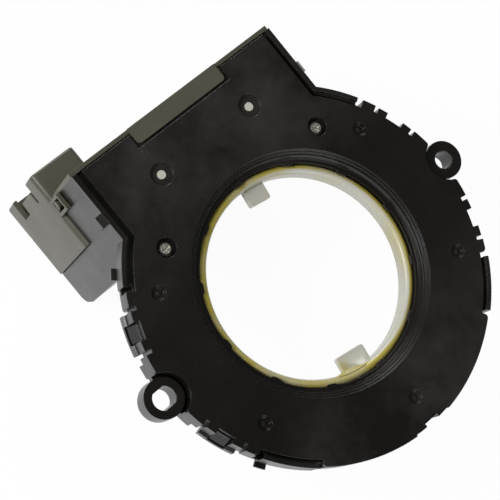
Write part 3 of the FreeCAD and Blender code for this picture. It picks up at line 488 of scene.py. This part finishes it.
# Plate over the tower, skirts that stand on the ledges, bosses of the screws and bearing discs of the gears
screw_boss_r, bearing_r, bearing_low = 3.2, 3.4, 4.4
cover_jobs = [("+", pushed(box(-edge_half, box_near, edge_half, skirt_far), rim_high, plate))]
for sign in SIDES:
    cover_jobs += [
        ("+", pushed(box(sign * (edge_half - skirt_thick), skirt_from, sign * edge_half, skirt_far),
                     groove_low, rim_high + cover_weld)),
        ("+", pushed(disc(sign * screw_x, screw_y, screw_boss_r), post_top, rim_high + cover_weld)),
        ("+", pushed(disc(sign * gear_x, gear_y, bearing_r), bearing_low, rim_high + cover_weld)),
    ]
for place, edge, span in ((rims[0][0], edge_r_far, rims[0][1]), (rims[1][0], edge_r_near, rims[1][1])):
    cover_jobs += [("+", spun(block(edge - skirt_thick, edge, groove_low, rim_high + cover_weld), mid, span))
                   for mid in (place, 180 - place)]

# Funnel and lip, as steps inward and down from the plate's edge, and the bumps on the lip
funnel_steps = ((0, 0), (0.2, 0.4), (0.6, 0.45), (0.75, 0.85), (1.25, 0.95))
lip_r, lip_low, lip_high, lip_foot_r, lip_wall = 25.05, 3.2, 4.95, 25.9, 0.9
bumps, bump_out, bump_weld, bump_tip_half, bump_foot_half, bump_round = 12, 0.58, 0.6, 0.9, 2.0, 0.7
bump_low, bump_below_lip = 3.95, 0.02
cover_jobs += [
    ("-", pushed(disc(0, 0, funnel_r + funnel_weld, 240), 0, plate + past)),
    ("+", spun([(funnel_r - inward, plate - down) for inward, down in funnel_steps]
               + [(lip_foot_r, lip_high), (lip_r, lip_high), (lip_r, lip_low),
                  (lip_foot_r + lip_wall, lip_low), (lip_foot_r + lip_wall, rim_high),
                  (funnel_r + lip_wall, rim_high), (funnel_r + lip_wall, plate)])),
]
for number in range(bumps):
    bump = pushed(eased([(lip_r - bump_out, -bump_tip_half), (lip_r - bump_out, bump_tip_half),
                         (lip_r + bump_weld, bump_foot_half), (lip_r + bump_weld, -bump_foot_half)],
                        bump_round, [0, 1]), bump_low, lip_high - bump_below_lip)
    bmesh.ops.rotate(bump, verts=bump.verts, cent=(0, 0, 0),
                     matrix=Matrix.Rotation(math.tau * number / bumps, 3, "Z"))
    cover_jobs.append(("+", bump))

# Snap loops: two legs and a bar each, with a small step on the outside of the legs
loop_outer_r, loop_step_r, loop_step, loop_ramp, loop_low, loop_bar, loop_weld = (
    42.05, 42.6, 2.1, 0.3, -0.2, 1.1, 0.6)
for mid in corners:
    cover_jobs += [("+", spun([(loop_inner_r - loop_weld, plate), (loop_inner_r - loop_weld, rim_high),
                               (loop_inner_r, rim_high), (loop_inner_r, loop_low), (loop_step_r, loop_low),
                               (loop_step_r, loop_step - loop_ramp), (loop_outer_r, loop_step),
                               (loop_outer_r, plate)], mid + shift, loop_leg))
                   for shift in ((loop_leg - loop_span) / 2, (loop_span - loop_leg) / 2)]
    cover_jobs.append(("+", spun(block(loop_inner_r, loop_step_r, loop_low, loop_low + loop_bar), mid,
                                 loop_span)))

# Countersinks and screw holes, bearing discs, the notch for the grey tongue, a raised line and the dimples
head_room_r, head_seat, screw_hole_r, screw_hole_top = 2.2, 5.3, 1.1, 5.4
bearing_step_r, journal_hole_r, journal_hole_top, drill_low = 2.6, 1.04, 6.6, 3
notch_half, notch_near, notch_floor = 13.4, 44.05, 6.5
line_left, line_near, line_right, line_far, line_weld, line_out = -13.65, 41.0, -13.35, 43.0, 0.3, 0.1
dimple_angles, dimple_circle_r, dimple_r = (30, 150, 210, 270, 330), 35.2, 1.25
dimple_deep, dimple_flare, pip_r, pip_weld, pip_below = 0.65, 1.5, 0.4, 0.7, 0.35
for sign in SIDES:
    cover_jobs += [
        ("-", pushed(disc(sign * screw_x, screw_y, head_room_r), head_seat, plate + past)),
        ("-", pushed(disc(sign * screw_x, screw_y, screw_hole_r), drill_low, screw_hole_top)),
        ("-", pushed(disc(sign * gear_x, gear_y, bearing_step_r), notch_floor, plate + past)),
        ("-", pushed(disc(sign * gear_x, gear_y, journal_hole_r), drill_low, journal_hole_top)),
    ]
cover_jobs += [
    ("-", pushed(box(-notch_half, notch_near, notch_half, tower_far), notch_floor, plate + past)),
    ("+", pushed(box(line_left, line_near, line_right, line_far), plate - line_weld, plate + line_out)),
]
for angle in dimple_angles:
    x, y = dimple_circle_r * math.cos(math.radians(angle)), dimple_circle_r * math.sin(math.radians(angle))
    dimple = pushed(disc(x, y, dimple_r), plate - dimple_deep, plate + dimple_deep)
    bmesh.ops.scale(dimple, vec=(dimple_flare, dimple_flare, 1), space=Matrix.Translation((-x, -y, 0)),
                    verts=[corner for corner in dimple.verts if corner.co.z > plate])
    cover_jobs += [("-", dimple), ("+", pushed(disc(x, y, pip_r, 24), plate - pip_weld, plate - pip_below))]
cover_moulding = finished(worked(cover_shape, cover_jobs), "cover_moulding", case_black, "top_cover")
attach(cover_moulding, "housing")

# Rear cover: one injection moulding of warm grey polyester with plate, tongue, plug shroud and snap hook. It
# is pushed into the open side of the box, and its tongue lies in the cover's notch. The shroud round the six
# pins comes out at the side of the box.
rear_thick, rear_gap, rear_skirt, rear_weld = 1.0, 0.1, 1.0, 0.2
rear_skirt_low, rear_skirt_high, rear_skirt_near, rear_room_near = -43.4, -0.1, 46.4, 46
tongue_half, tongue_near, tongue_top, tongue_round = 12.75, 44.7, 7.2, 0.9
shroud_left, shroud_low, shroud_right, shroud_high, shroud_wall = -30.1, -43.3, -17.7, -12.6, 1.2
shroud_near, shroud_far, shroud_round, hollow_round, mouth_round = 35.5, 55.3, 1.3, 0.5, 0.55
hollow_near, hollow_far = 35, 56
pins, pin_x, pin_half, pin_pitch, pin_first = 6, -23.9, 0.32, 4.2, -38.4
pin_wall_left, pin_wall_low, pin_wall_right, pin_wall_high = -29.2, -42.4, -18.6, -13.5
pin_wall_near, pin_wall_far, pin_hole_near, pin_hole_far = 38.8, 40, 38, 41
rear_far = tower_far + rear_thick
rear_base = pushed(eased(box(shroud_left, shroud_low, shroud_right, shroud_high), shroud_round), shroud_near,
                   shroud_far, "Y")
mouth = [edge for edge in rear_base.edges
         if min(corner.co.y for corner in edge.verts) > shroud_far - mouth_round]
bmesh.ops.bevel(rear_base, geom=mouth, offset=mouth_round, segments=4, profile=0.5, affect="EDGES",
                material=-1)
skirt_half, hollow_half = inner_half - rear_gap, inner_half - rear_gap - rear_skirt
skirt = worked(pushed(box(-skirt_half, rear_skirt_low, skirt_half, rear_skirt_high), rear_skirt_near,
                      tower_far + rear_weld, "Y"),
               [("-", pushed(box(-hollow_half, rear_skirt_low + rear_skirt, hollow_half,
                                 rear_skirt_high - rear_skirt), rear_room_near, tower_far + past, "Y"))])
pin_wall = worked(pushed(box(pin_wall_left, pin_wall_low, pin_wall_right, pin_wall_high), pin_wall_near,
                         pin_wall_far, "Y"),
                  [("-", pushed(box(pin_x - pin_half, z - pin_half, pin_x + pin_half, z + pin_half),
                                pin_hole_near, pin_hole_far, "Y"))
                   for z in (pin_first + pin_pitch * number for number in range(pins))])

# Latch window and latch tongue in the shroud's outer side, and the snap hook above it, as (Y, Z) outlines
shroud_in, hook_in, hook_boss_out = shroud_left + shroud_wall, -29.1, -30.0
latch_window = box(50.2, -36.0, 56, -18.8)
latch_tongue = [(49.7, -30.5), (50.2, -30.5), (53.2, -29.9), (53.2, -20.3), (49.7, -20.3)]
hook_frame, hook_hole = box(44.0, -13.1, 48.2, -6.0), box(44.75, -11.85, 47.45, -6.75)
hook_boss, window_out, hook_hole_in = disc(46.8, -11.2, 1.5), -31, -28
hollow = eased(box(shroud_in, shroud_low + shroud_wall, shroud_right - shroud_wall,
                   shroud_high - shroud_wall), hollow_round)
rear_jobs = [
    ("+", pushed(box(-tower_half, -box_depth, tower_half, rim_high), tower_far, rear_far, "Y")),
    ("+", skirt),
    ("+", pushed(box(-tongue_half, rim_high - past, tongue_half, tongue_top), tower_far, rear_far, "Y")),
    ("+", pushed(eased(box(-tongue_half, tongue_near, tongue_half, rear_far), tongue_round, [0, 1]),
                 notch_floor, tongue_top)),
    ("-", pushed(hollow, hollow_near, hollow_far, "Y")),
    ("+", pin_wall),
    ("-", pushed(latch_window, window_out, shroud_in, "X")),
    ("+", pushed(latch_tongue, shroud_left, shroud_in, "X")),
    ("+", worked(pushed(hook_frame, shroud_left, hook_in, "X"),
                 [("-", pushed(hook_hole, window_out, hook_hole_in, "X"))])),
    ("+", pushed(hook_boss, hook_boss_out, hook_in, "X")),
]
rear_grey = moulded("warm_grey_polyester", "#514f42", "#47453a", rough=0.38, grain_mm=0.3, grain=0.3,
                    edge_mm=0.2, scuffs=0.03)
rear_moulding = finished(worked(rear_base, rear_jobs), "rear_moulding", rear_grey, "rear_cover")
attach(rear_moulding, "housing")

# Shaft ring: one injection moulding of white acetal, naturally slippery, with two drive lugs for the steering
# shaft. It turns in the floor of the lower case, and its gear rim runs under the cover. Yellow grease lies on
# its top edge and in a small roll at the root of the wide lug.
shaft_r, tube_wall, tube_low, tube_high, tube_round = 23.0, 1.8, 0.1, 3.85, 1.1
flange_r, flange_low, flange_high, rim_bore_r = 27.8, 1.75, 2.75, 27.5
lugs, lug_out, lug_weld, lug_round, lug_high = ((5.06, 80.6), (7.1, 260.6)), 4, 0.9, 0.5, 2.0
millimetres, same_metres = 1000, 0.000001
toothed = bmesh.new()
toothed.from_mesh(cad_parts["rotor_ring"].data)
bmesh.ops.remove_doubles(toothed, verts=toothed.verts, dist=same_metres)
bmesh.ops.scale(toothed, vec=(millimetres, millimetres, millimetres), verts=toothed.verts)
ring_jobs = [
    ("-", pushed(disc(0, 0, rim_bore_r, 240), -past, rim_high)),
    ("+", spun(eased([(shaft_r, tube_low), (shaft_r + tube_wall, tube_low), (shaft_r + tube_wall, flange_low),
                      (flange_r, flange_low), (flange_r, flange_high), (shaft_r + tube_wall, flange_high),
                      (shaft_r + tube_wall, tube_high), (shaft_r, tube_high)], tube_round, [7]))),
]
for width, turn in lugs:
    lug = pushed(eased([(shaft_r - lug_out, -width / 2), (shaft_r + lug_weld, -width / 2),
                        (shaft_r + lug_weld, width / 2), (shaft_r - lug_out, width / 2)], lug_round, [0, 3]),
                 tube_low, lug_high)
    bmesh.ops.rotate(lug, verts=lug.verts, cent=(0, 0, 0), matrix=Matrix.Rotation(math.radians(turn), 3, "Z"))
    ring_jobs.append(("+", lug))

# The roll of grease swells toward its middle and thins out at both ends
bead_mid, bead_span, bead_back_r, bead_low, bead_round = 255.0, 18.0, shaft_r + 0.3, 1.9, 0.35
bead_out, bead_shoulder_out, bead_shoulder, bead_high = 0.9, 0.8, 2.7, 3.75
swell_least, swell_power, wave_share, wave_rate, at_back = 0.1, 0.6, 0.15, 1.9, 0.01
bead = spun(eased([(bead_back_r, bead_low), (shaft_r - bead_out, bead_low),
                   (shaft_r - bead_shoulder_out, bead_shoulder), (bead_back_r, bead_high)],
                  bead_round, [1, 2]), bead_mid, bead_span)
for corner in bead.verts:
    along = math.degrees(math.atan2(corner.co.y, corner.co.x)) % 360 - (bead_mid - bead_span / 2)
    wave = 1 - wave_share + wave_share * math.sin(along * wave_rate)
    swell = max(swell_least, math.sin(math.pi * along / bead_span)) ** swell_power * wave
    reach = bead_back_r - math.hypot(corner.co.x, corner.co.y)
    if reach > at_back:
        corner.co.xy *= 1 + reach * (1 - swell) / (bead_back_r - reach)
        corner.co.z = bead_low + (corner.co.z - bead_low) * swell
ring_jobs.append(("+", bead))

# Grease on the acetal, with places in metres: a film outward of a radius that grows along X, a wedge and a
# bead at the wide lug, and faint patches; the film is yellow and wet
greased = moulded("white_acetal_with_grease", "#bab9ad", "#b0afa3", rough=0.3, grain_mm=0.3, grain=0.1,
                  edge_mm=0.15)
wedge_place, bead_place, grease_yellow = (-0.0068, -0.0206, 0.0022), (-0.0058, -0.0219, 0.0029), "#ada04a"
skin = greased.node_tree.nodes["Principled BSDF"]
where = add_node(greased, "ShaderNodeTexCoord").outputs["Object"]
axes = add_node(greased, "ShaderNodeSeparateXYZ", inputs={"Vector": where})
film_from = ranged(greased, axes.outputs["X"], 0.014, -0.006, 0.0239, 0.0231, "SMOOTHSTEP")
over_lug = ranged(greased, axes.outputs["Z"], 0.00203, 0.0022, 0.0, 1.0)
level = add_node(greased, "ShaderNodeVectorMath", {"operation": "MULTIPLY"}, {0: where, 1: (1, 1, 0)})
radius = add_node(greased, "ShaderNodeVectorMath", {"operation": "LENGTH"}, {0: level.outputs[0]})
beyond = reckoned(greased, "SUBTRACT", radius.outputs["Value"], film_from)
on_top = ranged(greased, beyond, 0.0, 0.0003, 0.0, over_lug, "SMOOTHSTEP")
smeared = ranged(greased, cloudy(greased, where, 140.0, 3.0), 0.35, 0.55, 0.55, 1.0)
wedge_way = add_node(greased, "ShaderNodeVectorMath", {"operation": "DISTANCE"}, {0: where, 1: wedge_place})
wedge = ranged(greased, wedge_way.outputs["Value"], 0.0006, 0.0026, 0.8, 0.0, "SMOOTHSTEP")
bead_way = add_node(greased, "ShaderNodeVectorMath", {"operation": "DISTANCE"}, {0: where, 1: bead_place})
bead_near = ranged(greased, bead_way.outputs["Value"], 0.0036, 0.0056, 1.0, 0.0)
beaded = reckoned(greased, "MULTIPLY", bead_near, over_lug)
thick = reckoned(greased, "MAXIMUM", on_top, reckoned(greased, "MAXIMUM", wedge, beaded))
patches = ranged(greased, cloudy(greased, where, 55.0, 2.0), 0.55, 0.7, 0.0, 0.45)
film = reckoned(greased, "MAXIMUM", reckoned(greased, "MULTIPLY", thick, smeared), patches)
tinted = blended(greased, film, skin.inputs["Base Color"].links[0].from_socket, linear(grease_yellow))
greased.node_tree.links.new(tinted, skin.inputs["Base Color"])
greased.node_tree.links.new(ranged(greased, film, 0.2, 0.9, 0.32, 0.14), skin.inputs["Roughness"])
shaft_ring = finished(worked(toothed, ring_jobs), "shaft_ring", greased, "rotor_ring")
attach(shaft_ring, "rotor")

# Measuring gears: two small injection moulded gears of the same white acetal. Their hubs turn in holes of the
# lower case and their journals in the cover's bearing discs, and the ring's gear rim drives them.
acetal = moulded("white_acetal", "#bab9ad", "#b0afa3", rough=0.35, grain_mm=0.3, grain=0.1, edge_mm=0.15)


def dress(node, material):
    # a CAD node keeps its shape and takes this finish
    node_object = bpy.data.objects[node]
    if not node_object.material_slots:
        node_object.data.materials.append(material)
    for place in node_object.material_slots:
        place.material = material


for node in ("measuring_gear_a", "measuring_gear_b"):
    dress(node, acetal)

# Cover screws: two small cross-recess screws, cold headed and thread rolled from steel wire and zinc plated.
# They hold the cover on the two posts of the lower case.
screw_steel = moulded("zinc_plated_steel", "#efece2", "#d8d5ca", rough=0.4, grain_mm=0.3, grain=0.15,
                      edge_mm=0.08, metal=1.0)
for node in ("cover_screw_left", "cover_screw_right"):
    dress(node, screw_steel)

# Magnets: two discs of pressed and sintered ferrite, one in the hub of each measuring gear. They turn with
# the gears above the sensor chips.
ferrite = moulded("pressed_ferrite", "#3a3a3d", "#2c2c2f", rough=0.5, grain_mm=0.1, grain=0.3, edge_mm=0.1)
for node in ("magnet_a", "magnet_b"):
    dress(node, ferrite)

# Boards: two glass-fibre laminates with green solder mask. The small one lies under the magnets, and the main
# board stands in the deep box between rails.
laminate = moulded("green_solder_mask", "#1f5f38", "#18502e", rough=0.3, grain_mm=0.3, grain=0.1,
                   edge_mm=0.05)
for node in ("sensor_board", "main_board"):
    dress(node, laminate)

# Parts on the boards: chips and header in moulded black epoxy compound, crystal and storage capacitor in
# drawn aluminium cans, and chip capacitors of fired ceramic. All are soldered to the boards.
epoxy = moulded("black_epoxy_compound", "#26262a", "#1d1d20", rough=0.5, grain_mm=0.1, grain=0.3, edge_mm=0.1)
for node in ("sensor_chip_a", "sensor_chip_b", "microcontroller", "bus_transceiver", "voltage_regulator",
             "board_header"):
    dress(node, epoxy)
can = moulded("drawn_aluminium_can", "#c8c8c6", "#b4b4b2", rough=0.3, grain_mm=0.2, grain=0.1, edge_mm=0.1,
              metal=1.0)
for node in ("crystal", "storage_capacitor"):
    dress(node, can)
ceramic = moulded("brown_ceramic", "#8a6a4a", "#7a5c3e", rough=0.5, grain_mm=0.1, grain=0.2, edge_mm=0.05)
dress("chip_capacitors", ceramic)

# Pins: six plug terminals and the header's pins, stamped and plated with bright tin. The terminals pass
# through the pin wall of the shroud, and the header's pins join the two boards.
tin = moulded("bright_tin_plate", "#c9c7c0", "#b5b3ac", rough=0.28, grain_mm=0.2, grain=0.1, edge_mm=0.05,
              metal=1.0)
for node in ["header_pins"] + ["terminal_%d" % number for number in range(1, pins + 1)]:
    dress(node, tin)
